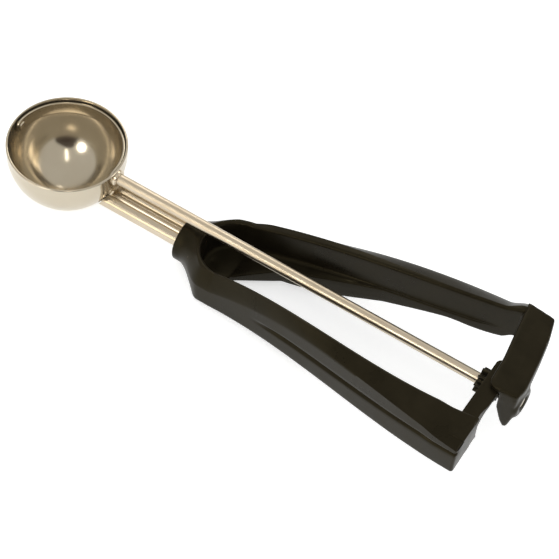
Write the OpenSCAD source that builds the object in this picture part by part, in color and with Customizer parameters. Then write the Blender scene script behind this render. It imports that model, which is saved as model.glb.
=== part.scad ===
// Lever ice cream scoop: a stainless bowl with a swept scraper blade, worked by
// squeezing a one-piece moulded handle whose rack turns a pinion on the ejector rod.
// The bowl opens upwards (+Z), the handle runs towards +X, the rod lies in the plane y = 0.

/* [Bowl] */
// Outside diameter of the bowl
bowl_d = 47; // [44:0.5:50]
// Thickness of the bowl's sheet
bowl_wall = 0.8; // [0.6:0.1:1.2]
// Straight wall between the rod's axis and the rim
rim_h = 4; // [3.6:0.2:6]
// Diameter of the rolled bead on the rim
rim_bead = 1.1; // [0.9:0.1:1.6]

/* [Scraper blade] */
// Width of the blade's strip
blade_w = 6; // [5:0.5:7]
// Thickness of the blade
blade_t = 0.7; // [0.5:0.1:1]
// Gap between the blade and the bowl
blade_gap = 0.4; // [0.3:0.05:0.6]
// Angle of the parked blade's middle below the rim plane
blade_park = 2; // [1:1:4]

/* [Ejector rod and pivots] */
// Diameter of the ejector rod
rod_d = 4.4; // [4:0.2:5]
// Radial clearance of every turning fit
run_gap = 0.05; // [0.03:0.01:0.08]
// Diameter of the front pivot pin
pivot_d = 2.4; // [2.2:0.2:3]
// Diameter of the front pivot pin's head
pivot_head_d = 3.8; // [3.6:0.2:5]
// How far the front pivot pin stands out of the bowl
pivot_out = 1.1; // [0.8:0.1:1.6]
// Wall of the bush in the bowl's back
bush_wall = 0.6; // [0.5:0.1:0.9]
// Width of the bush's flange beyond its wall
bush_flange = 0.5; // [0.4:0.1:0.9]

/* [Rack and pinion] */
// Tooth module of the rack and the pinion
tooth_module = 1; // [0.9:0.05:1.05]
// Number of teeth on the pinion
pinion_teeth = 8; // [8:1:9]
// Length of the pinion
pinion_len = 11.4; // [10:0.2:13]
// Slack between the meshed teeth
backlash = 0.4; // [0.36:0.02:0.46]
// Distance from the bowl's centre to the middle of the rack
reach = 189.3; // [180:0.5:200]
// Width of the rack bar
bar_w = 7.2; // [6:0.2:8]
// Thickness of the rack bar above its teeth
bar_t = 2.3; // [2:0.1:3]
// How far the rack bar runs past the rod
bar_past = 7; // [6:0.5:7.5]

/* [Shank] */
// Diameter of each bead pressed along the shank
bead_d = 6.6; // [6:0.2:7]
// Distance between the two beads
bead_pitch = 7; // [6.6:0.2:7.4]
// Thickness of the shank's sheet
shank_t = 1; // [0.8:0.1:1.4]
// Depth of the shank's axis below the rod
shank_drop = 11; // [10.5:0.1:11.5]
// Gap between the bowl's centre plane and the shank's cut end
shank_start = 24.4; // [24:0.2:26]
// Length of the shank that shows between bowl and handle
shank_len = 30.4; // [28:0.5:40]

/* [Handle] */
// Radius of the neck's collar
collar_r = 9.1; // [8.8:0.1:10]
// Depth of the collar's axis below the rod
collar_drop = 13.5; // [13:0.1:14]
// Solid depth of the collar in front of the fork
collar_len = 9.7; // [9:0.5:12]
// Radius of the fork between the grips
fork_r = 12.8; // [12:0.2:14]
// Width of the shelf along the inside of the grips at the fork
shelf_w = 6; // [4:0.5:7]
// Height of the inner wall above the shelf
shelf_depth = 14.5; // [13:0.5:15]
// Flat width of the grips' top rim
rim_w = 1.2; // [0.8:0.1:1.8]
// Half width of the handle across its shoulders
shoulder_half = 17.6; // [17:0.2:19]
// Half width of the handle across its ends
end_half = 36; // [33:0.5:38]
// Height of the grips' top rim above the rod at their ends
end_top = 8.5; // [8:0.1:9]
// Depth of the grips' underside below the rod at their ends
end_drop = 8; // [7:0.5:9]
// Depth of the finger groove along the outside of the grips
groove_depth = 1.1; // [0.6:0.1:1.6]
// Gap at the flexing line between the neck and the grips
flex_gap = 0.3; // [0.2:0.05:0.4]

/* [End block] */
// Height of the block's top face above the rod
roof_top = 10.3; // [10.2:0.1:11.5]
// Thickness of the block's roof
roof_t = 2.5; // [2:0.1:2.8]
// Width of the block's roof at the rod
roof_w = 14; // [13:0.5:15]
// Height of the block's rear skirt
skirt_h = 6.3; // [5:0.1:8]
// Thickness of the block's rear skirt
skirt_t = 3.2; // [2.5:0.1:4]
// Length of the bearing behind the pinion
bearing_len = 7; // [6:0.5:8]
// Depth of the bearing's foot below the rod
foot_drop = 11; // [10:0.5:13]
// Radius of the round boss behind the bearing
boss_r = 6.1; // [5.5:0.1:7]
// How far the boss stands behind the bearing
boss_len = 2.6; // [2:0.1:4]
// Radius of the recess in the boss
boss_recess_r = 3.4; // [3:0.1:4]

/* [Hidden] */

steel = [0.76, 0.72, 0.66];
bright_steel = [0.84, 0.81, 0.76];
black_plastic = [0.10, 0.095, 0.08];
grey_plastic = [0.18, 0.17, 0.15];
fine = 96;
coarse = 48;
eps = 0.01;

bowl_r = bowl_d / 2;
bowl_in_r = bowl_r - bowl_wall;
blade_r = bowl_in_r - blade_gap;
rod_r = rod_d / 2;
pivot_r = pivot_d / 2;
bush_r = rod_r + run_gap + bush_wall;
rod_start = blade_r - blade_t;

pitch = PI * tooth_module;
pitch_r = tooth_module * pinion_teeth / 2;
tip_r = pitch_r + tooth_module;
root_r = pitch_r - 1.2 * tooth_module;
rack_root_z = pitch_r + 1.2 * tooth_module;
bar_top = rack_root_z + bar_t;
bar_x = reach - bar_w / 2;
end_play = 0.3;
bar_relief = 0.7;
end_lean = 2;
web_len = 13.3;
pinion_end = reach + bar_w / 2 + 0.1;
pinion_start = pinion_end - pinion_len;

collar_x = shank_start + shank_len;
fork_x = collar_x + collar_len + fork_r;
hinge_x = fork_x + flex_gap / 2;
hinge_y = -(fork_r - shelf_w);
lever = reach - hinge_x;

grip_x = fork_x + flex_gap;
near_end = reach + bar_w / 2;
far_end = reach - 6.3;

bearing_x = pinion_end + end_play;
bearing_end = bearing_x + bearing_len;
boss_end = bearing_end + boss_len;
roof_z = roof_top - roof_t;
roof_x = reach - 1;
roof_front = -6.8;
roof_back = roof_x + roof_w;

front_x = -(bowl_r + pivot_out);
mid_x = (front_x + boss_end) / 2;

module in_frame() {
    translate([-mid_x, 0, bowl_r]) children();
}

module along_x(x0, x1, r, n = coarse) {
    translate([x0, 0, 0]) rotate([0, 90, 0]) cylinder(h = x1 - x0, r = r, $fn = n);
}

// ---- bowl, blade and rod ----

module bowl_outside(extra = 0) {
    sphere(r = bowl_r + extra, $fn = fine);
    cylinder(h = rim_h, r = bowl_r + extra, $fn = fine);
}

module bowl_inside() {
    sphere(r = bowl_in_r, $fn = fine);
    cylinder(h = rim_h + 1, r = bowl_in_r, $fn = fine);
}

module bowl() {
    bead_r = rim_bead / 2;
    color(bright_steel) in_frame() difference() {
        union() {
            difference() {
                bowl_outside();
                translate([0, 0, rim_h]) cylinder(h = bowl_d, r = bowl_d, $fn = coarse);
            }
            translate([0, 0, rim_h - bead_r])
                rotate_extrude($fn = fine) translate([bowl_r - bead_r, 0]) circle(r = bead_r, $fn = 24);
        }
        bowl_inside();
        along_x(-bowl_d, 0, pivot_r + run_gap);
        along_x(0, bowl_d, bush_r);
    }
}

module rear_bush() {
    color(steel) in_frame() difference() {
        union() {
            along_x(bowl_in_r - 0.1, bowl_r + 1.2, bush_r);
            difference() {
                along_x(bowl_r - 1, bowl_r + 1, bush_r + bush_flange);
                bowl_outside();
            }
        }
        along_x(0, bowl_d, rod_r + run_gap);
    }
}

module front_pivot_pin() {
    head_x = -sqrt(pow(blade_r - blade_t, 2) - pow(pivot_head_d / 2, 2));
    color(bright_steel) in_frame() {
        along_x(front_x, head_x, pivot_r);
        along_x(head_x, head_x + 0.9, pivot_head_d / 2);
    }
}

// A strip of the sphere just inside the bowl, with round eyes at both pivots
module scraper_blade() {
    eye_r = blade_w / 2;
    color(bright_steel) in_frame() rotate([-blade_park, 0, 0]) difference() {
        intersection() {
            difference() {
                sphere(r = blade_r, $fn = fine);
                sphere(r = blade_r - blade_t, $fn = fine);
            }
            union() {
                translate([-bowl_r, 0, -eye_r]) cube([bowl_d, bowl_r, blade_w]);
                along_x(-bowl_r, bowl_r, eye_r);
            }
        }
        along_x(-bowl_d, 0, pivot_r);
        along_x(0, bowl_d, rod_r);
    }
}

module ejector_rod() {
    color(bright_steel) in_frame() along_x(rod_start, bearing_end + 0.6, rod_r);
}

// ---- rack and pinion ----

// Half the angle of a tooth at radius r, for a tooth that thins towards its tip
function tooth_half_angle(r) =
    let (thick = pitch / 2 - backlash - (r - pitch_r) * 0.9)
    min(20, asin(thick / 2 / r));

module pinion_outline() {
    steps = 4;
    radii = [for (i = [0 : steps]) root_r + (tip_r - root_r) * i / steps];
    polygon([for (k = [0 : pinion_teeth - 1], i = [0 : 2 * steps + 1])
        let (r = radii[i <= steps ? i : 2 * steps + 1 - i],
             a = (k + 0.5) * 360 / pinion_teeth + (i <= steps ? -1 : 1) * tooth_half_angle(r))
        r * [cos(a), sin(a)]]);
}

module pinion() {
    color(grey_plastic) in_frame() difference() {
        translate([pinion_start, 0, 0]) rotate([0, 90, 0]) linear_extrude(pinion_len) pinion_outline();
        along_x(pinion_start - 1, pinion_end + 1, rod_r);
    }
}

// One rack tooth hanging from the bar, in the plane of the rack's length and height
module rack_tooth() {
    flank_slope = 0.36;
    tip_z = pitch_r - 0.7 * tooth_module;
    tip_half = pitch / 4 - backlash / 2 - flank_slope * (pitch_r - tip_z);
    root_half = pitch / 4 - backlash / 2 + flank_slope * (rack_root_z - pitch_r);
    translate([bar_x, 0, 0]) rotate([90, 0, 90]) linear_extrude(bar_w)
        polygon([[-root_half, rack_root_z + 0.1], [-tip_half, tip_z], [tip_half, tip_z],
                 [root_half, rack_root_z + 0.1]]);
}

// Plan of the near grip's end and the bar, cut back where it swings past the bearing
module bar_plan() {
    end_r = 1.8;
    polygon([[bar_x, bar_past - end_r], [near_end, bar_past - end_r], [near_end, -end_half * 0.37],
             [near_end - bar_relief, -end_half * 0.4], [near_end - bar_relief, -end_half * 0.55],
             [near_end + 0.3, -end_half * 0.59], [near_end, -end_half * 0.84],
             [near_end - end_lean, -end_half - 1], [bar_x, -end_half - 1]]);
    translate([bar_x + end_r, bar_past - 2 * end_r]) square([bar_w - 2 * end_r, 2 * end_r]);
    for (x = [bar_x + end_r, near_end - end_r])
        translate([x, bar_past - end_r]) circle(r = end_r, $fn = coarse);
}

module bar_body() {
    root_y = -end_half * 0.68;
    knee_y = -end_half * 0.49;
    intersection() {
        translate([bar_x, 0, 0]) rotate([90, 0, 90]) linear_extrude(bar_w + 1) {
            mirror([1, 0]) polygon(grip_ring(end_s(bar_x), near_side));
            polygon([[root_y, -end_drop + 3], [root_y, bar_top], [bar_past, bar_top], [bar_past, rack_root_z],
                     [knee_y, rack_root_z], [knee_y - 2, rack_root_z - 1.4], [knee_y - 4, -end_drop + 3]]);
        }
        translate([0, 0, -2 * end_drop]) linear_extrude(4 * end_drop) bar_plan();
        translate([0, 10, 0]) rotate([90, 0, 0]) linear_extrude(end_half + 15)
            polygon([[bar_x, -2 * end_drop], [near_end - 2.4 * end_lean, -2 * end_drop],
                     [near_end - 2 * end_lean, -end_drop], [near_end + 0.4, end_drop * 0.4],
                     [near_end + 0.4, 2 * end_drop], [bar_x, 2 * end_drop]]);
    }
}

// Each tooth is turned about the flexing line, so that it meets the pinion parallel to the rod
module rack_bar() {
    color(black_plastic) in_frame() {
        bar_body();
        for (k = [-1 : 5])
            translate([hinge_x, hinge_y, 0]) rotate(-k * pitch / lever * 180 / PI)
                translate([-hinge_x, -hinge_y, 0]) rack_tooth();
    }
}

// ---- shank ----

module shank_section(grow = 0) {
    for (side = [-1, 1])
        translate([side * bead_pitch / 2, 0]) circle(r = bead_d / 2 + grow, $fn = coarse);
    translate([-bead_pitch / 2, -bead_d / 2 - grow]) square([bead_pitch, bead_d * 0.7 + grow]);
}

module shank_bar(x0, x1, grow = 0) {
    translate([x0, 0, -shank_drop]) rotate([90, 0, 90]) linear_extrude(x1 - x0) shank_section(grow);
}

module shank() {
    slot_w = bead_pitch - 2;
    color(steel) in_frame() {
        difference() {
            shank_bar(shank_start, fork_x - fork_r - 1);
            shank_bar(shank_start - 1, fork_x - fork_r, -shank_t);
            translate([shank_start - 1, -slot_w / 2, -shank_drop - bead_d])
                cube([shank_len + collar_len + 2, slot_w, bead_d]);
        }
        // Tongue that is welded to the back of the bowl
        difference() {
            intersection() {
                bowl_outside(shank_t);
                translate([0, -bead_pitch / 2, -shank_drop - bead_d]) cube([bowl_d, bead_pitch, bead_d * 1.75]);
            }
            bowl_outside();
        }
        difference() {
            translate([shank_start - 6, -bead_pitch / 2, -shank_drop + bead_d * 0.2 - shank_t])
                cube([6 + eps, bead_pitch, shank_t]);
            bowl_outside();
        }
    }
}

// ---- handle ----

function bezier(p, s) =
    pow(1 - s, 3) * p[0] + 3 * pow(1 - s, 2) * s * p[1] + 3 * (1 - s) * s * s * p[2] + pow(s, 3) * p[3];
function smooth(t) = let (c = min(1, max(0, t))) c * c * (3 - 2 * c);

grip_len = near_end - fork_x;
fork_top = -collar_drop + collar_r + 0.4;
fork_bottom = -collar_drop - collar_r + 1.1;
// Control values along each grip: outer width, inner width, ridge height fraction, shelf bulge
far_side = [[shoulder_half, shoulder_half + 2.4, end_half - 3.5, end_half - 1.5],
            [fork_r, fork_r + 4.2, end_half - 16.5, end_half - 5.5], [0.58, 1.15, 0.78, 0.76], 3];
near_side = [[shoulder_half, shoulder_half - 0.6, end_half - 2.2, end_half],
             [fork_r, fork_r + 2.7, end_half - 8.5, end_half - 17.2], [0.58, 0.78, 0.98, 0.97], 0.3];
groove = [0.42, 0.4, 0.42, 0.8];
function end_s(x) = (x - fork_x) / grip_len;
function top_z(s) = bezier([fork_top, end_top + 0.5, end_top + 2, end_top], s);
function bottom_z(s) = bezier([fork_bottom, fork_bottom + 1, -end_drop - 4, -end_drop], s);
function ledge(s) = 0.9 * (1 - smooth((s - 0.76) / 0.12));
function shelf(s, bulge) = s > 0.6 ? ledge(s) : max(ledge(s), bezier([shelf_w, shelf_w + bulge, 0, 0], s / 0.6));
function shelf_z(s) = top_z(s) - shelf_depth + 2.6 * s;
function belly_lift(s) = 5 * smooth((s - 0.25) / 0.45) * (1 - 0.4 * smooth((s - 0.86) / 0.1));

outer_steps = 22;
groove_half_u = 0.07;
heel_u = 0.1;
heel_r = 1.9;

// Height fraction of the wall's point i, with five points kept on the groove
function wall_u(i, s) =
    let (low = bezier(groove, s) - groove_half_u, high = bezier(groove, s) + groove_half_u)
    i < 8 ? low * i / 8 : i < 12 ? low + (high - low) * (i - 8) / 4 : high + (1 - high) * (i - 12) / (outer_steps - 12);

// A point of the outer wall at height fraction u, from the heel (0) to the top rim (1)
function wall_point(s, u, side) =
    let (out_y = bezier(side[0], s), rim_y = bezier(side[1], s) + rim_w, ridge = bezier(side[2], s),
         heel = u < heel_u ? 1 - sqrt(1 - pow((heel_u - u) / heel_u, 2)) : 0,
         slope = u > ridge ? pow((u - ridge) / (1 - ridge), 1.25) : 0,
         dip = smooth(1 - abs(u - bezier(groove, s)) / groove_half_u) * smooth((s - 0.2) / 0.12))
    [out_y - heel * heel_r - slope * (out_y - rim_y) - dip * groove_depth,
     bottom_z(s) + u * (top_z(s) - bottom_z(s))];

// Section of a grip: up the outer wall, over the rim, down to the shelf and back under it
function grip_ring(s, side) =
    let (yi = bezier(side[1], s), zt = top_z(s), w = shelf(s, side[3]), zs = shelf_z(s),
         zi = min(bottom_z(s) + belly_lift(s), zs - 2.2))
    concat([for (i = [0 : outer_steps]) wall_point(s, wall_u(i, s), side)],
           [[yi + 0.35 * rim_w, zt - 0.1 * rim_w], [yi, zt - rim_w], [yi, zs + 2.2],
            [yi - 0.25 * w, zs + 0.7], [yi - 0.6 * w, zs], [yi - 0.92 * w, zs - 0.4],
            [yi - w, zs - 1.2], [yi - w, zi + 0.8], [yi - w + 0.5, zi]]);

// Section of the neck: the collar's circle growing into both shoulders
function neck_point(x, u) =
    let (t = smooth((x - collar_x - 2.6) / (fork_x - collar_x - 7.6)),
         a = 4 + 172 * u,
         round_p = [collar_r * sin(a), -collar_drop - collar_r * cos(a)])
    round_p * (1 - t) + wall_point(0, u, near_side) * t;
function neck_ring(x) = concat(
    [for (i = [0 : outer_steps]) neck_point(x, wall_u(i, 0))],
    [for (i = [outer_steps : -1 : 0]) let (p = neck_point(x, wall_u(i, 0))) [-p[0], p[1]]]);

// Skin over a row of sections with equal point counts, standing at the places in xs
module loft(xs, sections) {
    n = len(sections[0]);
    last = len(sections) - 1;
    sides = [for (k = [0 : last - 1], i = [0 : n - 1])
        let (a = k * n + i, b = k * n + (i + 1) % n)
        each [[a, b + n, b], [a, a + n, b + n]]];
    polyhedron(points = [for (k = [0 : last], p = sections[k]) [xs[k], p[0], p[1]]],
               faces = concat([[for (i = [0 : n - 1]) i]], [[for (i = [n - 1 : -1 : 0]) last * n + i]], sides));
}

module grip(x_start, x_end, side) {
    stations = 30;
    xs = [for (k = [0 : stations]) x_start + (x_end - x_start) * k / stations];
    loft(xs, [for (x = xs) grip_ring(end_s(x), side)]);
}

module handle_neck() {
    stations = 12;
    floor_z = shelf_z(0);
    web_half = fork_r - shelf_w - flex_gap;
    xs = [for (k = [0 : stations]) collar_x + (fork_x - collar_x) * k / stations];
    color(black_plastic) in_frame() {
        difference() {
            loft(xs, [for (x = xs) neck_ring(x)]);
            translate([fork_x, 0, floor_z]) cylinder(h = shelf_depth + collar_r, r = fork_r, $fn = fine);
            shank_bar(collar_x - 1, fork_x - fork_r - 1);
        }
        // Floor between the grips' shelves, open in a V and clear of the near grip as it turns
        translate([0, 0, fork_bottom + 0.4]) linear_extrude(floor_z - fork_bottom - 0.7)
            polygon([[fork_x - 2, -web_half], [fork_x + web_len, -web_half], [fork_x + 5.2, -0.9],
                     [fork_x + 5.2, 0.9], [fork_x + web_len, web_half - 0.9], [fork_x + web_len + 4.7, web_half + 1],
                     [fork_x + 6.7, web_half + 0.2], [fork_x - 2, web_half]]);
    }
}

module far_grip() {
    color(black_plastic) in_frame() grip(fork_x, far_end, far_side);
}

module near_grip() {
    color(black_plastic) in_frame() mirror([0, 1, 0]) grip(grip_x, bar_x, near_side);
}

// ---- end block on the far grip ----

module roof_outline() {
    polygon([[far_end + 0.6, end_half - 2.4], [roof_x - 2.2, end_half - 18.9], [roof_x - 0.6, -roof_front],
             [roof_x, roof_front + 3], [roof_x + 1.2, roof_front + 0.8], [roof_x + 3.4, roof_front],
             [roof_back - 1.6, roof_front + 0.5], [roof_back, roof_front + 6], [roof_back - 3, end_half - 21],
             [roof_back - 4.6, end_half - 12], [roof_back - 7, end_half - 3.5]]);
}

module end_block() {
    wall_y = bezier(far_side[1], end_s(far_end));
    foot = bearing_x + 0.35 * bearing_len;
    skirt_z = roof_top - skirt_h;
    gusset = 9;
    color(black_plastic) in_frame() difference() {
        union() {
            translate([0, 0, roof_z]) linear_extrude(roof_t) roof_outline();
            // Rear skirt under the roof's back edge
            translate([0, 0, skirt_z]) linear_extrude(skirt_h) intersection() {
                difference() {
                    roof_outline();
                    translate([-skirt_t, 0]) roof_outline();
                }
                translate([bearing_x, roof_front]) square([roof_w, end_half * 2]);
            }
            // Solid root that carries on from the far grip
            translate([0, 0, skirt_z]) linear_extrude(skirt_h) intersection() {
                roof_outline();
                translate([far_end, wall_y]) square([roof_w * 2, end_half]);
            }
            intersection() {
                translate([far_end, 0, 0]) rotate([90, 0, 90]) linear_extrude(gusset)
                    polygon(grip_ring(end_s(far_end), far_side));
                translate([0, end_half + 5, 0]) rotate([90, 0, 0]) linear_extrude(end_half)
                    polygon([[far_end, -2 * end_drop], [far_end + 1, -2 * end_drop], [far_end + gusset, skirt_z],
                             [far_end + gusset, roof_z + 1], [far_end, roof_z + 3]]);
            }
            // Bearing with its tapered foot
            translate([0, 5, 0]) rotate([90, 0, 0]) linear_extrude(5 - roof_front - 0.3)
                polygon([[bearing_x, roof_z + eps], [bearing_end, roof_z + eps], [bearing_end, -4],
                         [bearing_end - 1.2, -foot_drop + 1.2], [bearing_end - 2.6, -foot_drop],
                         [foot, -foot_drop + 3], [bearing_x, -1]]);
            along_x(bearing_end - 1, boss_end - 0.6, boss_r, fine);
            along_x(bearing_end, boss_end, boss_r - 0.8, fine);
        }
        along_x(bearing_x - 1, bearing_end + 1, rod_r + run_gap);
        along_x(bearing_end + 0.8, boss_end + 1, boss_recess_r);
    }
}

bowl();
rear_bush();
front_pivot_pin();
scraper_blade();
ejector_rod();
pinion();
shank();
handle_neck();
far_grip();
near_grip();
rack_bar();
end_block();
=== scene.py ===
import math
import bmesh
import bpy
from mathutils import Matrix, Vector


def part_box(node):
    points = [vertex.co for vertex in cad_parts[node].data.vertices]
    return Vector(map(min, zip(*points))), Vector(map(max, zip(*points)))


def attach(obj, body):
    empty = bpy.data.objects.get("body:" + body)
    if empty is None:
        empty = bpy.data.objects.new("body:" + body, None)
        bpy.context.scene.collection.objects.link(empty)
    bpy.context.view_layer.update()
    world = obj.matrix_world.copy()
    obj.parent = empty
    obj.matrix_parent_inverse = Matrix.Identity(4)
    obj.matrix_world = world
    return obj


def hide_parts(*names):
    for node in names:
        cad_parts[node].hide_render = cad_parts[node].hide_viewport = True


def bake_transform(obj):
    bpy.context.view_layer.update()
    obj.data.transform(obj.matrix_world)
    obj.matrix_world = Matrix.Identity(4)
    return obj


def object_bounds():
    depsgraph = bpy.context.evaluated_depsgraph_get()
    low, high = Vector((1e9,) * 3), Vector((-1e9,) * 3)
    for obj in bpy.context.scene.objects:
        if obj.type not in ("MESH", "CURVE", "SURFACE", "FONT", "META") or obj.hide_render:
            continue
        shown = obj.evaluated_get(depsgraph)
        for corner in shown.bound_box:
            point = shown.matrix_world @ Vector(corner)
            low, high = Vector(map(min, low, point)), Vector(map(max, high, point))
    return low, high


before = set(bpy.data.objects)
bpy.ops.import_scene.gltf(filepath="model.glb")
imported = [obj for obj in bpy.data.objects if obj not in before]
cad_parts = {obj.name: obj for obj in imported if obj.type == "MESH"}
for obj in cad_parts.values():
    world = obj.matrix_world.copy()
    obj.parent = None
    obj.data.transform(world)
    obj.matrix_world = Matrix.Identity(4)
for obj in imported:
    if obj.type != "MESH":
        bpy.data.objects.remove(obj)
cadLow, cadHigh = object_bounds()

# Pieces are drawn in millimetres: x from the bowl's centre, z from the ejector rod's axis
mm = 0.001
mergeGap = 0.002 * mm    # points closer than this are one point
bowlLow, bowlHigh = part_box("bowl")
bowlRadius = (bowlHigh.x - bowlLow.x) / 2 / mm
origin = Vector(((bowlLow.x + bowlHigh.x) / 2, 0, bowlLow.z + bowlRadius * mm))


def place(x, y, z):
    return origin + Vector((x, y, z)) * mm


def innerX(value):   # a frame x in metres, as millimetres from the bowl's centre
    return (value - origin.x) / mm


def bezier(p, t):
    k = 1 - t
    return k ** 3 * p[0] + 3 * k * k * t * p[1] + 3 * k * t * t * p[2] + t ** 3 * p[3]


def smooth(t):
    t = min(1, max(0, t))
    return t * t * (3 - 2 * t)


def rise(value, start, run):   # 0 up to start, 1 from start + run on
    return smooth((value - start) / run)


def between(a, b, count):   # count values from a up to, not including, b
    return [a + (b - a) * i / count for i in range(count)]


def straight(start, end, count, picks):   # the picked points of a line cut into count parts
    return [tuple(a + (b - a) * i / count for a, b in zip(start, end)) for i in picks]


def corner(start, middle, end, count):   # points of a soft corner between two edges
    points = []
    for i in range(count + 1):
        t = i / count
        points.append(tuple(a * (1 - t) ** 2 + 2 * b * t * (1 - t) + c * t * t
                            for a, b, c in zip(start, middle, end)))
    return points


def arc(cx, cy, radius, first, last, count):
    angles = [math.radians(first + (last - first) * i / count) for i in range(count + 1)]
    return [(cx + radius * math.cos(a), cy + radius * math.sin(a)) for a in angles]


def gridFaces(rows, columns):   # faces between open rows of points
    return [[a, a + 1, a + columns + 1, a + columns]
            for k in range(rows - 1) for a in range(k * columns, (k + 1) * columns - 1)]


def ringFaces(rings, count):   # faces between closed rings of points
    faces = []
    for k in range(rings - 1):
        for i in range(count):
            a, b = k * count + i, k * count + (i + 1) % count
            faces.append([a, b, b + count, a + count])
    return faces


def addObject(name, data):
    thing = bpy.data.objects.new(name, data)
    bpy.context.scene.collection.objects.link(thing)
    return thing


def rawPiece(name, verts, faces, material):
    mesh = bpy.data.meshes.new(name)
    mesh.from_pydata([tuple(v) for v in verts], [], faces)
    mesh.materials.append(material)
    return addObject(name, mesh)


def smoothByAngle(mesh, angle):
    mesh.shade_smooth()
    mesh.set_sharp_from_angle(angle=math.radians(angle))


def meshPiece(name, verts, faces, material, sharpAngle=35):
    piece = rawPiece(name, verts, faces, material)
    work = bmesh.new()
    work.from_mesh(piece.data)
    bmesh.ops.remove_doubles(work, verts=work.verts, dist=mergeGap)
    bmesh.ops.dissolve_degenerate(work, edges=work.edges, dist=mergeGap)
    bmesh.ops.recalc_face_normals(work, faces=work.faces)
    work.to_mesh(piece.data)
    work.free()
    smoothByAngle(piece.data, sharpAngle)
    return piece


# Turns a profile of (along, radius) pairs about the rod's axis or the bowl's upright axis
def turnedPiece(name, profile, steps, axis, material, closed=False, sharpAngle=35):
    verts, rings, faces = [], [], []
    for along, radius in profile:
        ring = []
        for i in range(steps if radius else 1):
            a = 2 * math.pi * i / steps
            side, up = radius * math.cos(a), radius * math.sin(a)
            ring.append(len(verts))
            verts.append(place(along, side, up) if axis == "x" else place(side, up, along))
        rings.append(ring)
    pairs = list(zip(rings, rings[1:]))
    if closed:
        pairs.append((rings[-1], rings[0]))
    for a, b in pairs:
        for i in range(steps):
            j = (i + 1) % steps
            face = [a[i % len(a)], a[j % len(a)], b[j % len(b)], b[i % len(b)]]
            faces.append(list(dict.fromkeys(face)))
    return meshPiece(name, verts, [f for f in faces if len(f) > 2], material, sharpAngle)


def bakeModifiers(piece):
    view = bpy.context.evaluated_depsgraph_get()
    mesh = bpy.data.meshes.new_from_object(piece.evaluated_get(view))
    old = piece.data
    piece.modifiers.clear()
    piece.data = mesh
    mesh.name = piece.name
    if old.users == 0:
        bpy.data.meshes.remove(old)


def finishWith(piece, kind, **values):   # adds a modifier and applies it to the mesh
    modifier = piece.modifiers.new(kind.title(), kind)
    for key, value in values.items():
        setattr(modifier, key, value)
    bakeModifiers(piece)


def bevelEdges(piece, shape):
    finishWith(piece, "BEVEL", width=shape["edge"] * mm, segments=2, limit_method="ANGLE",
               angle_limit=math.radians(shape["edgeAngle"]), harden_normals=False)
    smoothByAngle(piece.data, shape["sharp"])


print("frame loaded, bowl radius", round(bowlRadius, 2), "mm")


def newGroup(name, inputs, outputs, treeKind="ShaderNodeTree"):
    tree = bpy.data.node_groups.new(name, treeKind)
    for label, kind, value in inputs:
        socket = tree.interface.new_socket(name=label, in_out="INPUT", socket_type="NodeSocket" + kind)
        if value is not None:
            socket.default_value = value
    for label, kind in outputs:
        tree.interface.new_socket(name=label, in_out="OUTPUT", socket_type="NodeSocket" + kind)
    given, out = tree.nodes.new("NodeGroupInput"), tree.nodes.new("NodeGroupOutput")
    return tree, given.outputs, out.inputs


# A node with its settings, and each input as a link or a plain value
def addNode(tree, kind, inputs=None, **settings):
    node = tree.nodes.new(kind)
    for key, value in settings.items():
        setattr(node, key, value)
    for key, value in (inputs or {}).items():
        if isinstance(value, bpy.types.NodeSocket):
            tree.links.new(value, node.inputs[key])
        else:
            node.inputs[key].default_value = value
    return node


def mathNode(tree, operation, a, b=None):
    inputs = {0: a} if b is None else {0: a, 1: b}
    return addNode(tree, "ShaderNodeMath", inputs, operation=operation).outputs[0]


def noiseOf(tree, vector, scale, detail, rough):
    return addNode(tree, "ShaderNodeTexNoise",
                   {"Vector": vector, "Scale": scale, "Detail": detail, "Roughness": rough}).outputs["Fac"]


def spread(tree, value, fromRange, toRange):   # a value from one range into another
    return addNode(tree, "ShaderNodeMapRange", {
        "Value": value, "From Min": fromRange[0], "From Max": fromRange[1],
        "To Min": toRange[0], "To Max": toRange[1]}).outputs["Result"]


def mixColor(tree, share, first, second):
    return addNode(tree, "ShaderNodeMix", {0: share, 6: first, 7: second}, data_type="RGBA").outputs[2]


def bumpOf(tree, height, strength, depth, under=None):
    inputs = {"Height": height, "Strength": strength, "Distance": depth}
    if under:
        inputs["Normal"] = under
    return addNode(tree, "ShaderNodeBump", inputs).outputs[0]


def useGroup(tree, group, inputs):
    return addNode(tree, "ShaderNodeGroup", inputs, node_tree=group).outputs


# Shader groups shared by the finishes; noiseMiddle is where most values of a noise lie
noiseMiddle = (0.35, 0.65)
groupShape = {
    "lineNoise": (3.0, 0.6), "handlingNoise": (4.0, 0.55), "handlingRange": (0.42, 0.7),
    "grainNoise": (3.0, 0.6), "flowNoise": (4.0, 0.6), "flowRange": (0.3, 0.7), "mouldRough": (0.25, 0.36),
    "breakNoise": (3.0, 0.6), "breakRange": (0.35, 0.6), "breakKeep": (0.25, 1.0),
}


# Fine lines left by drawing or turning: the vector is already stretched along the work
def buildToolLines():
    tree, given, out = newGroup(
        "toolLines",
        [("Vector", "Vector", None), ("Scale", "Float", 900.0),
         ("Low Roughness", "Float", 0.1), ("High Roughness", "Float", 0.2)],
        [("Roughness", "Float"), ("Height", "Float")])
    fine = noiseOf(tree, given["Vector"], given["Scale"], *groupShape["lineNoise"])
    rough = spread(tree, fine, noiseMiddle, (given["Low Roughness"], given["High Roughness"]))
    tree.links.new(rough, out["Roughness"])
    tree.links.new(fine, out["Height"])
    return tree


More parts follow.
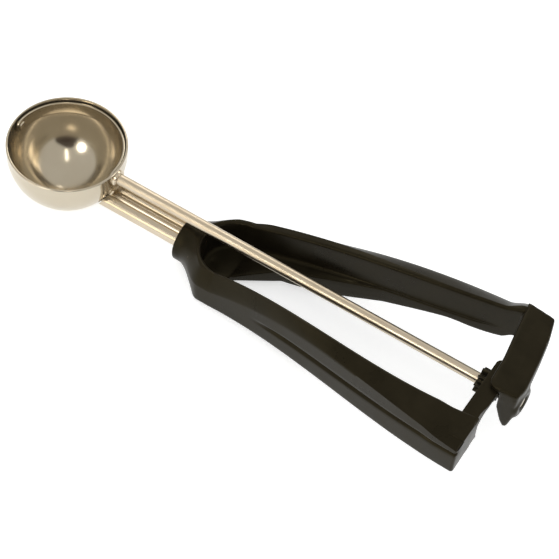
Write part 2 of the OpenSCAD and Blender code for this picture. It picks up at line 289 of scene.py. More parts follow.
# Soft patches where fingers and washing have dulled a surface
def buildHandling():
    tree, given, out = newGroup(
        "handlingMarks", [("Vector", "Vector", None), ("Scale", "Float", 60.0), ("Amount", "Float", 0.06)],
        [("Mask", "Float"), ("Added Roughness", "Float")])
    broad = noiseOf(tree, given["Vector"], given["Scale"], *groupShape["handlingNoise"])
    mask = spread(tree, broad, groupShape["handlingRange"], (0.0, 1.0))
    tree.links.new(mask, out["Mask"])
    tree.links.new(mathNode(tree, "MULTIPLY", mask, given["Amount"]), out["Added Roughness"])
    return tree


# Moulded plastic: a fine spark-eroded grain, faint flow marks and a colour that shifts a little
def buildMouldGrain():
    tree, given, out = newGroup(
        "mouldGrain",
        [("Vector", "Vector", None), ("Grain Scale", "Float", 2600.0), ("Flow Scale", "Float", 90.0),
         ("Dark", "Color", (0.02, 0.018, 0.014, 1)), ("Light", "Color", (0.03, 0.027, 0.02, 1))],
        [("Color", "Color"), ("Height", "Float"), ("Roughness", "Float")])
    grain = noiseOf(tree, given["Vector"], given["Grain Scale"], *groupShape["grainNoise"])
    flow = noiseOf(tree, given["Vector"], given["Flow Scale"], *groupShape["flowNoise"])
    share = spread(tree, flow, noiseMiddle, (0.0, 1.0))
    tree.links.new(mixColor(tree, share, given["Dark"], given["Light"]), out["Color"])
    tree.links.new(grain, out["Height"])
    tree.links.new(spread(tree, flow, groupShape["flowRange"], groupShape["mouldRough"]), out["Roughness"])
    return tree


# Worn and lit edges: where the surface is sharply convex, a lighter colour that is partly real wear and
# partly a painted highlight
def buildEdgeWearAndHighlight():
    tree, given, out = newGroup(
        "edgeWearAndHighlight",
        [("Vector", "Vector", None), ("Start", "Float", 0.53), ("End", "Float", 0.62),
         ("Breakup Scale", "Float", 220.0)],
        [("Mask", "Float")])
    convex = addNode(tree, "ShaderNodeNewGeometry").outputs["Pointiness"]
    edge = spread(tree, convex, (given["Start"], given["End"]), (0.0, 1.0))
    breakup = noiseOf(tree, given["Vector"], given["Breakup Scale"], *groupShape["breakNoise"])
    patches = spread(tree, breakup, groupShape["breakRange"], groupShape["breakKeep"])
    tree.links.new(mathNode(tree, "MULTIPLY", edge, patches), out["Mask"])
    return tree


toolLines = buildToolLines()
handlingMarks = buildHandling()
mouldGrain = buildMouldGrain()
edgeWearAndHighlight = buildEdgeWearAndHighlight()


def blankMaterial(name):
    material = bpy.data.materials.new(name)
    material.use_nodes = True
    material.node_tree.nodes.clear()
    return material, material.node_tree


def newMaterial(name):
    material, tree = blankMaterial(name)
    surface = addNode(tree, "ShaderNodeBsdfPrincipled")
    addNode(tree, "ShaderNodeOutputMaterial", {"Surface": surface.outputs["BSDF"]})
    coords = addNode(tree, "ShaderNodeTexCoord").outputs["Object"]
    return material, tree, surface.inputs, coords


def linkFinish(tree, surface, color, roughness, normal):
    tree.links.new(color, surface["Base Color"])
    tree.links.new(roughness, surface["Roughness"])
    tree.links.new(normal, surface["Normal"])


# Colour and roughness with tool lines and handling marks; where handled, the colour is a little duller
def metalFinish(tree, vector, coords, finish):
    smoothest, roughest = finish["rough"]
    lines = useGroup(tree, toolLines, {
        "Vector": vector, "Scale": finish["lineScale"],
        "Low Roughness": smoothest, "High Roughness": roughest})
    marks = useGroup(tree, handlingMarks, {
        "Vector": coords, "Scale": finish["markScale"], "Amount": finish["markRough"]})
    total = mathNode(tree, "ADD", lines["Roughness"], marks["Added Roughness"])
    dulled = [value * share for value, share in zip(finish["color"], finish["dulled"])]
    color = mixColor(tree, marks["Mask"], (*finish["color"], 1), (*dulled, 1))
    return color, total, lines["Height"]


rodFinish = {
    "color": (0.60, 0.52, 0.405), "dulled": (0.92, 0.91, 0.88), "rough": (0.27, 0.35),
    "lineScale": 900.0, "stretch": (0.02, 1, 1), "lineDepth": 0.012, "markScale": 90.0, "markRough": 0.07,
    "anisotropic": 0.35,
}
strapFinish = {**rodFinish, "rough": (0.15, 0.22), "stretch": (0.03, 1, 1)}
bowlFinish = {
    "color": (0.555, 0.495, 0.39), "dulled": (0.94, 0.93, 0.91), "rough": (0.12, 0.175),
    "lineScale": 1500.0, "lineDepth": 0.05, "markScale": 55.0, "markRough": 0.05,
    "waveScale": 70.0, "waveNoise": (2.0, 0.5), "waveDepth": 0.25, "metallic": 0.93,
}
lineHeight, waveHeight, grainHeight = 0.00001, 0.0001, 0.00006    # metres


# Drawn bar and pressed strap: fine lines along x
def makeDrawnSteel(name, finish):
    material, tree, surface, coords = newMaterial(name)
    mapped = addNode(tree, "ShaderNodeMapping", {"Vector": coords, "Scale": finish["stretch"]}).outputs[0]
    color, rough, height = metalFinish(tree, mapped, coords, finish)
    linkFinish(tree, surface, color, rough, bumpOf(tree, height, finish["lineDepth"], lineHeight))
    surface["Metallic"].default_value = 1.0
    surface["Anisotropic"].default_value = finish["anisotropic"]
    return material


# Spun and polished sheet: faint rings about the bowl's upright axis
def makePolishedSteel(name, finish):
    material, tree, surface, coords = newMaterial(name)
    centred = addNode(tree, "ShaderNodeMapping", {"Vector": coords, "Location": tuple(-origin)}).outputs[0]
    parts = addNode(tree, "ShaderNodeSeparateXYZ", {"Vector": centred}).outputs
    flat = addNode(tree, "ShaderNodeCombineXYZ", {"X": parts["X"], "Y": parts["Y"]}).outputs[0]
    radius = addNode(tree, "ShaderNodeVectorMath", {0: flat}, operation="LENGTH").outputs["Value"]
    rings = addNode(tree, "ShaderNodeCombineXYZ", {"X": radius, "Z": parts["Z"]}).outputs[0]
    color, rough, height = metalFinish(tree, rings, coords, finish)
    waves = noiseOf(tree, centred, finish["waveScale"], *finish["waveNoise"])
    slow = bumpOf(tree, waves, finish["waveDepth"], waveHeight)
    linkFinish(tree, surface, color, rough, bumpOf(tree, height, finish["lineDepth"], lineHeight, slow))
    surface["Metallic"].default_value = finish["metallic"]
    return material


# The edge colour lightens sharp edges: partly real wear, partly a painted highlight along them
handleFinish = {
    "dark": (0.0095, 0.0078, 0.0050), "light": (0.0142, 0.0116, 0.0071), "edgeWearAndHighlightColor": (0.06, 0.052, 0.038),
    "edgeWearAndHighlightStart": 0.53, "edgeWearAndHighlightRun": 0.08, "grainDepth": 0.35, "markScale": 45.0, "markRough": 0.06,
    "wearPolish": 0.12, "specular": 0.14, "specularTint": (1.0, 0.86, 0.48, 1),
}
# The pinion's sharp edges get the lighter colour too: partly real wear, partly a painted highlight
gearFinish = {
    **handleFinish, "dark": (0.009, 0.0080, 0.0055), "light": (0.013, 0.0115, 0.008),
    "edgeWearAndHighlightColor": (0.04, 0.036, 0.028), "edgeWearAndHighlightStart": 0.54, "grainDepth": 0.2,
}


def makePlastic(name, finish):
    material, tree, surface, coords = newMaterial(name)
    grain = useGroup(tree, mouldGrain, {
        "Vector": coords, "Dark": (*finish["dark"], 1), "Light": (*finish["light"], 1)})
    edgeWearAndHighlightStart = finish["edgeWearAndHighlightStart"]
    edgeWearAndHighlightEnd = edgeWearAndHighlightStart + finish["edgeWearAndHighlightRun"]
    wearAndHighlightMask = useGroup(tree, edgeWearAndHighlight, {"Vector": coords, "Start": edgeWearAndHighlightStart, "End": edgeWearAndHighlightEnd})["Mask"]
    marks = useGroup(tree, handlingMarks, {
        "Vector": coords, "Scale": finish["markScale"], "Amount": finish["markRough"]})
    # Sharp edges get a lighter colour: partly real wear, partly a painted highlight along the edges
    color = mixColor(tree, wearAndHighlightMask, grain["Color"], (*finish["edgeWearAndHighlightColor"], 1))
    total = mathNode(tree, "ADD", grain["Roughness"], marks["Added Roughness"])
    smoother = mathNode(tree, "MULTIPLY", wearAndHighlightMask, finish["wearPolish"])
    linkFinish(tree, surface, color, mathNode(tree, "SUBTRACT", total, smoother),
               bumpOf(tree, grain["Height"], finish["grainDepth"], grainHeight))
    surface["Specular IOR Level"].default_value = finish["specular"]
    surface["Specular Tint"].default_value = finish["specularTint"]
    return material


polishedSteel = makePolishedSteel("polishedSteel", bowlFinish)
rodSteel = makeDrawnSteel("drawnRod", rodFinish)
strapSteel = makeDrawnSteel("pressedStrap", strapFinish)
blackPlastic = makePlastic("blackHandle", handleFinish)
gearPlastic = makePlastic("pinionPlastic", gearFinish)
print("materials made")

bowlShape = {"wall": 0.8, "rimHeight": 4.0, "rimBead": 1.1, "outsideRows": (1.2, 2.4),
             "insideRows": (3.2, 2.0, 1.0), "arcSteps": 72, "beadSteps": 12, "turnSteps": 224, "sharp": 60}


def buildBowl():
    inner = bowlRadius - bowlShape["wall"]
    bead = bowlShape["rimBead"] / 2
    beadMiddle = bowlShape["rimHeight"] - bead
    lean = math.degrees(math.acos((inner - bowlRadius + bead) / bead))
    outside = [(z, r) for r, z in arc(0, 0, bowlRadius, -90, 0, bowlShape["arcSteps"])]
    lip = [(z, r) for r, z in arc(bowlRadius - bead, beadMiddle, bead, 0, lean, bowlShape["beadSteps"])]
    inside = [(z, r) for r, z in arc(0, 0, inner, 0, -90, bowlShape["arcSteps"])]
    outside[0] = (outside[0][0], 0.0)
    inside[-1] = (inside[-1][0], 0.0)
    wallOut = [(z, bowlRadius) for z in bowlShape["outsideRows"]]
    wallIn = [(z, inner) for z in bowlShape["insideRows"]]
    piece = turnedPiece("bowlShell", outside + wallOut + lip + wallIn + inside,
                        bowlShape["turnSteps"], "z", polishedSteel, sharpAngle=bowlShape["sharp"])
    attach(piece, "frame")
    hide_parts("bowl")


buildBowl()
print("bowl made")

bladeShape = {"width": 6.0, "thickness": 0.7, "gap": 0.4, "park": 2.0, "gather": 0.36, "edge": 0.18,
              "edgeAngle": 50, "sharp": 40, "alongSteps": 120, "acrossSteps": 10}


# A strip bent inside the bowl from eye to eye; its rows lie closer together at the round eyes
def buildBlade():
    radius = bowlRadius - bowlShape["wall"] - bladeShape["gap"]
    eye = bladeShape["width"] / 2
    over = math.asin(eye / radius)
    along, across = bladeShape["alongSteps"], bladeShape["acrossSteps"]
    verts = []
    tilt = Matrix.Rotation(math.radians(-bladeShape["park"]), 3, "X")
    for i in range(along + 1):
        share = i / along
        eased = share - bladeShape["gather"] * math.sin(2 * math.pi * share) / (2 * math.pi)
        turn = -over + (math.pi + 2 * over) * min(1, max(0, eased))
        y = radius * math.sin(turn)
        half = eye if y > 0 else math.sqrt(max(0.0, eye * eye - y * y))
        for j in range(across + 1):
            z = half * (2 * j / across - 1)
            if y > 0:
                flat = math.sqrt(radius * radius - z * z)
                spot = Vector((flat * math.cos(turn), flat * math.sin(turn), z))
            else:
                x = math.sqrt(radius * radius - y * y - z * z)
                spot = Vector((math.copysign(x, math.cos(turn)), y, z))
            verts.append(place(*(tilt @ spot)))
    piece = meshPiece("scraperBlade", verts, gridFaces(along + 1, across + 1), polishedSteel)
    outward = sum(p.normal.dot(p.center - origin) for p in piece.data.polygons)
    if outward < 0:
        piece.data.flip_normals()
    finishWith(piece, "SOLIDIFY", thickness=bladeShape["thickness"] * mm, offset=-1, use_even_offset=False)
    bevelEdges(piece, bladeShape)
    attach(piece, "ejector")
    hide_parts("scraper_blade")


buildBlade()

rodShape = {"radius": 2.2, "chamfer": 0.3, "rows": 24, "steps": 72, "sharp": 30}


def buildRod():
    low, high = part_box("ejector_rod")
    x0, x1 = innerX(low.x), innerX(high.x)
    r, c = rodShape["radius"], rodShape["chamfer"]
    body = straight((x0 + c, r), (x1 - c, r), rodShape["rows"], range(rodShape["rows"] + 1))
    profile = [(x0, 0.0), (x0, r - c)] + body + [(x1, r - c), (x1, 0.0)]
    piece = turnedPiece("ejectorRod", profile, rodShape["steps"], "x", rodSteel,
                        sharpAngle=rodShape["sharp"])
    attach(piece, "ejector")
    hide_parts("ejector_rod")


pinShape = {"radius": 1.2, "headRadius": 1.9, "headDepth": 0.9, "round": 0.35,
            "roundAngles": (0, 22, 45, 68, 90), "step": 0.02, "steps": 40}


def buildPin():
    low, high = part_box("front_pivot_pin")
    x0, x1 = innerX(low.x), innerX(high.x)
    r, head, soft, step = (pinShape[key] for key in ("radius", "headRadius", "round", "step"))
    back = x1 - pinShape["headDepth"]
    angles = [math.radians(a) for a in pinShape["roundAngles"]]
    tail = [(x0 + soft - soft * math.cos(a), r - soft + soft * math.sin(a)) for a in angles]
    front = [(x1 - soft + soft * math.sin(a), head - soft + soft * math.cos(a)) for a in angles]
    neck = [(back - step, r), (back, r + step), (back, head - step), (back + 2 * step, head)]
    profile = [(x0, 0.0)] + tail + neck + front + [(x1, 0.0)]
    piece = turnedPiece("frontPivotPin", profile, pinShape["steps"], "x", polishedSteel)
    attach(piece, "ejector")
    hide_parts("front_pivot_pin")


bushShape = {"bore": 2.25, "wall": 0.6, "flange": 0.5, "round": 0.25, "seat": 0.5, "flangeOut": 1.0,
             "roundSteps": 4, "steps": 56}


def buildBush():
    low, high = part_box("rear_bush")
    x0, x1 = innerX(low.x), innerX(high.x)
    bore, soft = bushShape["bore"], bushShape["round"]
    outer = bore + bushShape["wall"]
    rim = outer + bushShape["flange"]
    flangeFront, flangeBack = bowlRadius - bushShape["seat"], bowlRadius + bushShape["flangeOut"]
    ring = arc(0, 0, soft, 0, 90, bushShape["roundSteps"])
    flange = [(flangeBack - soft + y, rim - soft + x) for x, y in ring]
    tip = [(x1 - soft + y, outer - soft + x) for x, y in ring]
    profile = [(x0, bore), (x0, outer), (flangeFront, outer), (flangeFront, rim)] + flange
    profile += [(flangeBack, outer)] + tip + [(x1, bore)]
    piece = turnedPiece("rearBush", profile, bushShape["steps"], "x", strapSteel, closed=True)
    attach(piece, "frame")
    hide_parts("rear_bush")


buildRod()
buildPin()
buildBush()
print("blade, rod, pin and bush made")

shankShape = {
    "bead": 3.3, "pitch": 7.0, "drop": 11.0, "sheet": 1.0, "slotHalf": 2.5, "clear": 0.35,
    "beadStop": 158, "beadSteps": 34, "valleyIn": 0.32, "valleyDown": 0.62, "valleySteps": 4,
    "steps": 20, "edge": 0.12, "edgeAngle": 60, "sharp": 40,
}
tongueShape = {"top": -6.0, "foot": -17.0, "seat": 0.05, "footNarrow": 1.6, "topNarrow": 1.2,
               "narrowRows": 6, "rows": 26, "across": 12, "edge": 0.2, "edgeAngle": 50, "sharp": 40}


# The sheet's middle line on the far side, from the slot's edge round the bead to the valley
def strapLine():
    mid = shankShape["bead"] - shankShape["sheet"] / 2
    centre = shankShape["pitch"] / 2
    first = -90 - math.degrees(math.asin((centre - shankShape["slotHalf"]) / mid))
    turn = arc(centre, 0, mid, first, shankShape["beadStop"], shankShape["beadSteps"])
    bead = [(y, z - shankShape["drop"]) for y, z in turn]
    valleyZ = bead[-1][1] - shankShape["valleyDown"]
    valley = corner(bead[-1], (shankShape["valleyIn"], valleyZ), (0.0, valleyZ), shankShape["valleySteps"])
    return bead + valley[1:]


def strapRing():
    half = strapLine()
    full = half + [(-y, z) for y, z in reversed(half[:-1])]
    sheet = shankShape["sheet"] / 2
    outer, inner = [], []
    for i, (y, z) in enumerate(full):
        before, after = full[max(0, i - 1)], full[min(len(full) - 1, i + 1)]
        way = Vector((after[0] - before[0], after[1] - before[1])).normalized()
        outer.append((y + way.y * sheet, z - way.x * sheet))
        inner.append((y - way.y * sheet, z + way.x * sheet))
    return outer + list(reversed(inner))


def buildShank():
    low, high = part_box("shank")
    end = innerX(high.x)
    reach = bowlRadius + shankShape["clear"]
    ring = strapRing()
    count, steps = len(ring), shankShape["steps"]
    verts = []
    for k in range(steps + 1):
        for y, z in ring:   # the cut end follows the bowl's round side
            start = math.sqrt(reach * reach - y * y - z * z)
            verts.append(place(start + (end - start) * k / steps, y, z))
    faces = ringFaces(steps + 1, count)
    for base, flip in ((0, False), (steps * count, True)):
        for i in range(count // 2 - 1):
            quad = [base + i, base + i + 1, base + count - 2 - i, base + count - 1 - i]
            faces.append(quad[::-1] if flip else quad)
    piece = meshPiece("shankStrap", verts, faces, strapSteel)
    bevelEdges(piece, shankShape)
    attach(piece, "frame")
    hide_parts("shank")


# Tongue of the strap, laid on the bowl's back and carried out into the valley between the beads
def buildTongue():
    shape = tongueShape
    half, rows, across = shankShape["pitch"] / 2, shape["rows"], shape["across"]
    verts, faces = [], []
    for radius in (bowlRadius - shape["seat"], bowlRadius + shankShape["sheet"]):
        for k in range(rows):
            z = shape["foot"] + (shape["top"] - shape["foot"]) * k / (rows - 1)
            narrow = half - shape["footNarrow"] * (1 - smooth(k / shape["narrowRows"]))
            narrow -= shape["topNarrow"] * rise(k, rows - shape["narrowRows"], shape["narrowRows"])
            for j in range(across + 1):
                y = narrow * (2 * j / across - 1)
                verts.append(place(math.sqrt(radius * radius - y * y - z * z), y, z))
    layer = rows * (across + 1)
    for quad in gridFaces(rows, across + 1):
        faces.append(quad)
        faces.append([layer + v for v in reversed(quad)])
    rim = list(range(across + 1))
    rim += [k * (across + 1) + across for k in range(1, rows)]
    rim += [(rows - 1) * (across + 1) + j for j in range(across - 1, -1, -1)]
    rim += [k * (across + 1) for k in range(rows - 2, 0, -1)]
    for a, b in zip(rim, rim[1:] + rim[:1]):
        faces.append([b, a, a + layer, b + layer])
    piece = meshPiece("shankTongue", verts, faces, strapSteel)
    bevelEdges(piece, shape)
    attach(piece, "frame")


buildShank()
buildTongue()
print("shank made")

# Sizes in millimetres. A pair is the start and the run of a soft step, as shares of the grip's length
# from the fork; the dip's steps count in millimetres from the fork, and its last up the wall's height
handleShape = {
    "forkRadius": 12.8, "rimWidth": 1.2, "fillet": 2.2, "leastFloor": 2.2, "endRise": (0.86, 0.06),
    "shelfWidth": 6.0, "shelfDepth": 14.5, "shelfRise": 2.6, "shelfStop": 0.6, "ledge": 0.9,
    "ledgeFade": (0.76, 0.12), "edgeDrop": 0.4, "edgeSoft": 0.7, "edgeSoftRun": 1.5, "edgeMix": 2.0,
    "edgeStepRun": 2.5, "softShare": 0.8, "softLeast": 0.1, "filletShare": 0.6, "lipShare": 0.4,
    "collarRadius": 9.1, "collarDrop": 13.5, "collarRound": 0.8, "collarHold": 2.6, "neckHold": 7.6,
    "collarTurn": (4, 172), "collarTop": 0.02, "shoulderRise": 0.4, "footRise": 1.1, "pocketShare": 0.72,
    "grooveDepth": 1.1, "grooveHalf": 0.07, "grooveStart": (0.16, 0.16), "heel": 0.1, "heelRadius": 1.9,
    "ridgePower": 1.25, "ridgeGap": 0.02, "apexX": 0.3, "apexY": 2.9, "apexRound": 1.35, "apexBend": 9,
    "endRound": 1.1, "barWidth": 7.2, "farOverlap": 1.6, "flexStart": 0.7, "flexEnd": 27, "sharp": 50,
    "bellyLift": 5, "bellyRise": (0.25, 0.45), "sagDrop": (0.68, 0.19),
    "sagEnd": 2, "sagEndRise": (0.875, 0.035), "nearDrop": 0.55, "nearDropRise": (0.84, 0.1),
    "rimGrow": (-0.065, 0.125), "rimFade": (0.25, 0.5),
    "dipStart": (-13, 5), "dipStop": (-6.5, 5), "dipWall": (0.75, 0.25),
}
# Counts of points: along the wall's stretches, and along each stretch of a cross section
gridSteps = {
    "grip": 130, "collar": 14, "fork": 22, "beforeApex": 6, "wall": (7, 6, 14, 6, 16),
    "under": 5, "rimTop": 4, "corner": 7, "inner": 5, "floor": 7, "edgeCorner": 4, "edge": 3,
}
collarRows, afterCollar = (0, 0.12, 0.3, 0.55, 0.8), 1.4
apexRows, afterApex = (0, 0.15, 0.4, 0.8), 1.3
endAngles = (15, 30, 45, 60, 75, 90)
weldSteps = 500          # points are welded on a grid of this many steps in a millimetre
forkX = innerX(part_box("far_grip")[0].x)
farEnd = innerX(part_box("far_grip")[1].x)
nearEnd = innerX(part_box("near_grip")[1].x)
gripEnd = nearEnd + handleShape["barWidth"]   # the rack bar's far face
collarX = innerX(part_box("handle_neck")[0].x)
forkTop = -handleShape["collarDrop"] + handleShape["collarRadius"] + handleShape["shoulderRise"]
forkBottom = -handleShape["collarDrop"] - handleShape["collarRadius"] + handleShape["footRise"]
shoulderHalf, endHalf, endTop, endDrop = 17.6, 36.0, 8.5, 8.0
topLine = (forkTop, endTop + 0.5, endTop + 2, endTop)
bottomLine = (forkBottom, forkBottom + 1, -endDrop - 4, -endDrop)
grooveLine = (0.42, 0.4, 0.42, 0.8)
farSide = {
    "outer": (shoulderHalf, shoulderHalf + 2.4, endHalf - 3.5, endHalf - 1.5),
    "inner": (12.8, 17.0, endHalf - 16.5, endHalf - 5.5), "ridge": (0.58, 1.15, 0.78, 0.76), "bulge": 3.0,
    "edgeSlope": 0.62, "edgeStep": 0.0, "rimExtra": 2.1, "endLift": 1.4, "endSpread": 1.6, "sag": 3.7,
    "dip": 0.8,
}
nearSide = {
    "outer": (shoulderHalf, shoulderHalf - 0.6, endHalf - 2.2, endHalf),
    "inner": (12.8, 15.5, endHalf - 8.5, endHalf - 17.2), "ridge": (0.58, 0.78, 0.98, 0.97), "bulge": 0.3,
    "edgeSlope": 0.2, "edgeStep": 2.0, "rimExtra": 0.0, "endLift": -1.0, "endSpread": 0.0, "sag": 0.0,
    "dip": 0.0,
}


def endShare(s):   # grows from 0 to 1 over the last stretch of a grip
    return rise(s, *handleShape["endRise"])


def topZ(s, side):
    return bezier(topLine, s) + side["endLift"] * endShare(s)


def bottomZ(s):
    return bezier(bottomLine, s)


def ledge(s):
    return handleShape["ledge"] * (1 - rise(s, *handleShape["ledgeFade"]))


def shelfWidth(s, side):
    if s > handleShape["shelfStop"]:
        return ledge(s)
    wide = handleShape["shelfWidth"]
    return max(ledge(s), bezier((wide, wide + side["bulge"], 0, 0), s / handleShape["shelfStop"]))


def shelfZ(s):
    start = handleShape["endRise"][0]
    return topZ(min(s, start), nearSide) - handleShape["shelfDepth"] + handleShape["shelfRise"] * s


# The underside rises to the middle of a grip; the far grip sags again before its end
def bellyLift(s, side):
    shape = handleShape
    lift = shape["bellyLift"] * rise(s, *shape["bellyRise"])
    if side["sag"]:
        lift -= side["sag"] * rise(s, *shape["sagDrop"])
        return lift + shape["sagEnd"] * rise(s, *shape["sagEndRise"])
    return lift * (1 - shape["nearDrop"] * rise(s, *shape["nearDropRise"]))


# The far rim is wider, from just before the fork's middle to half way along the grip
def rimExtra(s, side):
    return side["rimExtra"] * rise(s, *handleShape["rimGrow"]) * (1 - rise(s, *handleShape["rimFade"]))


# Height fractions of the outer wall's points, gathered at the heel, the groove and the ridge
def wallFractions(s, side):
    groove, half = bezier(grooveLine, s), handleShape["grooveHalf"]
    ridge = max(groove + half + handleShape["ridgeGap"], bezier(side["ridge"], s))
    marks = (0, handleShape["heel"], groove - half, groove + half, ridge, 1)
    fractions = []
    for low, high, count in zip(marks, marks[1:], gridSteps["wall"]):
        fractions += between(low, high, count)
    return fractions + [1.0]


def wallPoint(s, u, side):
    shape = handleShape
    flare = side["endSpread"] * endShare(s)
    outY = bezier(side["outer"], s) + flare
    rimY = bezier(side["inner"], s) + shape["rimWidth"] + (rimExtra(s, side) if s > 0 else 0) + flare
    ridge = bezier(side["ridge"], s)
    heel = 0.0
    if u < shape["heel"]:
        heel = 1 - math.sqrt(1 - ((shape["heel"] - u) / shape["heel"]) ** 2)
    slope = ((u - ridge) / (1 - ridge)) ** shape["ridgePower"] if u > ridge else 0.0
    groove = smooth(1 - abs(u - bezier(grooveLine, s)) / shape["grooveHalf"])
    groove *= rise(s, *shape["grooveStart"])
    y = outY - heel * shape["heelRadius"] - slope * (outY - rimY) - groove * shape["grooveDepth"]
    return y, bottomZ(s) + u * (topZ(s, side) - bottomZ(s))


def neckShare(x):   # 0 at the collar's mouth, 1 where the neck has the shoulders' section
    return smooth((x - collarX - handleShape["collarHold"]) / (forkX - collarX - handleShape["neckHold"]))


# The neck: the collar's circle growing into both shoulders
def neckPoint(x, u, side):
    shape = handleShape
    t = neckShare(x)
    a = math.radians(shape["collarTurn"][0] + shape["collarTurn"][1] * u)
    roundY = shape["collarRadius"] * math.sin(a)
    roundZ = -shape["collarDrop"] - shape["collarRadius"] * math.cos(a)
    y, z = wallPoint(0, u, nearSide)
    ridge = side["ridge"][0]
    y += rimExtra((x - forkX) / (gripEnd - forkX), side) * rise(u, ridge, 1 - ridge)
    dip = rise(x - forkX, *shape["dipStart"]) * (1 - rise(x - forkX, *shape["dipStop"]))
    z -= side["dip"] * dip * rise(u, *shape["dipWall"])
    return roundY * (1 - t) + y * t, roundZ * (1 - t) + z * t


def centreShift(x):   # the line where the two halves meet bends towards the near side at the fork
    return -handleShape["apexY"] * rise(x - forkX, -handleShape["apexBend"], handleShape["apexBend"])


def edgeLine(x, side):   # the floor's edge along the V between the grips, outwards from the rod's line
    start = centreShift(x) if side is farSide else -centreShift(x)
    past = x - forkX - handleShape["apexX"]
    if past <= 0:
        return start
    run = past + handleShape["apexRound"]
    opening = side["edgeSlope"] * math.sqrt(run * run - handleShape["apexRound"] ** 2)
    return start + opening + side["edgeStep"] * smooth(past / handleShape["edgeStepRun"])


# The underside from its edge out to the wall, and the wall up to the rim
def outerRun(start, wall):
    count = gridSteps["under"]
    return straight(start, wall[0], count, range(count)) + wall


# Over the rim, down the inner wall and round the fillet at its foot
def innerRun(wallY, top, floor, fillet):
    rim, above = handleShape["rimWidth"], handleShape["fillet"]
    count, inner = gridSteps["corner"], gridSteps["inner"]
    run = corner((wallY + rim, top), (wallY, top), (wallY, top - rim), count)[1:]
    run += straight((wallY, top - rim), (wallY, floor + above), inner, range(1, inner))
    return run + corner((wallY, floor + above), (wallY, floor), (wallY - fillet, floor), count)


def straightTo(run, end, count):   # a line on from a run's last point
    return run + straight(run[-1], end, count, range(1, count + 1))


# Columns of one cross section, in three runs: outside (from the underside's edge up to the top rim),
# inside (over the rim, down the inner wall and along the floor) and edge (down the floor's edge)
def gripSection(x, side):
    shape = handleShape
    s = (x - forkX) / (gripEnd - forkX)
    wallY = bezier(side["inner"], s)
    top, floor = topZ(s, side), shelfZ(s)
    low = floor - shape["edgeDrop"]
    under = min(bottomZ(s) + bellyLift(s, side), floor - shape["leastFloor"])
    limit, opening = wallY - shelfWidth(s, side), edgeLine(x, side)
    mix = smooth((limit - opening) / shape["edgeMix"] + 0.5)
    edge = opening * mix + limit * (1 - mix)
    wide = wallY - edge
    rounded = shape["edgeSoft"] * rise(x - forkX, shape["apexX"], shape["edgeSoftRun"])
    soft = min(rounded, shape["softShare"] * wide + shape["softLeast"])   # less on a narrow floor
    start = (edge + soft, under)
    outside = outerRun(start, [wallPoint(s, u, side) for u in wallFractions(s, side)])
    outside = straightTo(outside, (wallY + shape["rimWidth"], top), gridSteps["rimTop"])
    inside = innerRun(wallY, top, floor, min(shape["fillet"], shape["filletShare"] * wide))
    inside = straightTo(inside, (edge + min(soft, shape["lipShare"] * wide), low), gridSteps["floor"])
    edgeRun = corner(inside[-1], (edge, low), (edge, low - soft), gridSteps["edgeCorner"])[1:]
    edgeRun = straightTo(edgeRun, (edge, under + soft), gridSteps["edge"])[:-1]
    edgeRun += corner((edge, under + soft), (edge, under), start, gridSteps["edgeCorner"])
    return [[(x, y, z) for y, z in run] for run in (outside, inside, edgeRun)]


# The same columns where the fork's round pocket is cut into the neck, from its front (0) to its side (90)
def forkSection(turn, side):
    shape = handleShape
    rim, radius = shape["rimWidth"], shape["forkRadius"]
    c, n = math.cos(math.radians(turn)), math.sin(math.radians(turn))

    def radial(r, z):
        return forkX - r * c, r * n, z
    x = forkX - (radius + rim) * c
    wall = [neckPoint(x, u, side) for u in wallFractions(0, nearSide)]
    top, floor = wall[-1][1], shelfZ(0)
    bottom, t = -shape["collarDrop"] - shape["collarRadius"], neckShare(x)
    start = (edgeLine(x, side), bottom * (1 - t) + forkBottom * t)
    outside = [(x, y, z) for y, z in outerRun(start, wall)]
    outside = straightTo(outside, radial(radius + rim, top), gridSteps["rimTop"])
    inside = [radial(r, z) for r, z in innerRun(radius, top, floor, shape["fillet"])]
    centreX = forkX - radius * c * shape["pocketShare"]
    centre = (centreX, edgeLine(centreX, side), floor - shape["edgeDrop"])
    return outside, straightTo(inside, centre, gridSteps["floor"])


# The collar in front of the fork: only the outside run, closed over the top
def collarSection(x):
    shape = handleShape
    along = 1 - min(1, (x - collarX) / shape["collarRound"])
    inset = shape["collarRound"] * (1 - math.sqrt(max(0.0, 1 - along ** 2)))
    middle = -shape["collarDrop"]
    shrink = 1 - inset / shape["collarRadius"]
    wall = [neckPoint(x, u, nearSide) for u in wallFractions(0, nearSide)]
    wall = [(y * shrink, middle + (z - middle) * shrink) for y, z in wall]
    bottom, t = middle - shape["collarRadius"] * shrink, neckShare(x)
    outside = outerRun((0.0, bottom * (1 - t) + forkBottom * t), wall)
    outside = straightTo(outside, (0.0, wall[-1][1] + shape["collarTop"]), gridSteps["rimTop"])
    return [(x, y, z) for y, z in outside]


# Moves a closed section inwards, for the rounded end of the near grip
def insetRuns(runs, x, amount):
    loop = runs[0] + runs[1] + runs[2][:-1]
    spots = [Vector(point[1:]) for point in loop]
    count = len(spots)
    area = sum(spots[i - 1].x * spots[i].y - spots[i].x * spots[i - 1].y for i in range(count))
    least = 0.05    # closer points don't give a sure direction
    moved = []
    for i, here in enumerate(spots):
        before, after = 1, 1
        while (spots[i - before] - here).length < least:
            before += 1
        while (spots[(i + after) % count] - here).length < least:
            after += 1
        way = (spots[(i + after) % count] - spots[i - before]).normalized()
        inward = Vector((-way.y, way.x)) * math.copysign(amount, area)
        moved.append((x, here.x + inward.x, here.y + inward.y))
    a, b = len(runs[0]), len(runs[0]) + len(runs[1])
    return moved[:a], moved[a:b], moved[b:] + moved[:1]


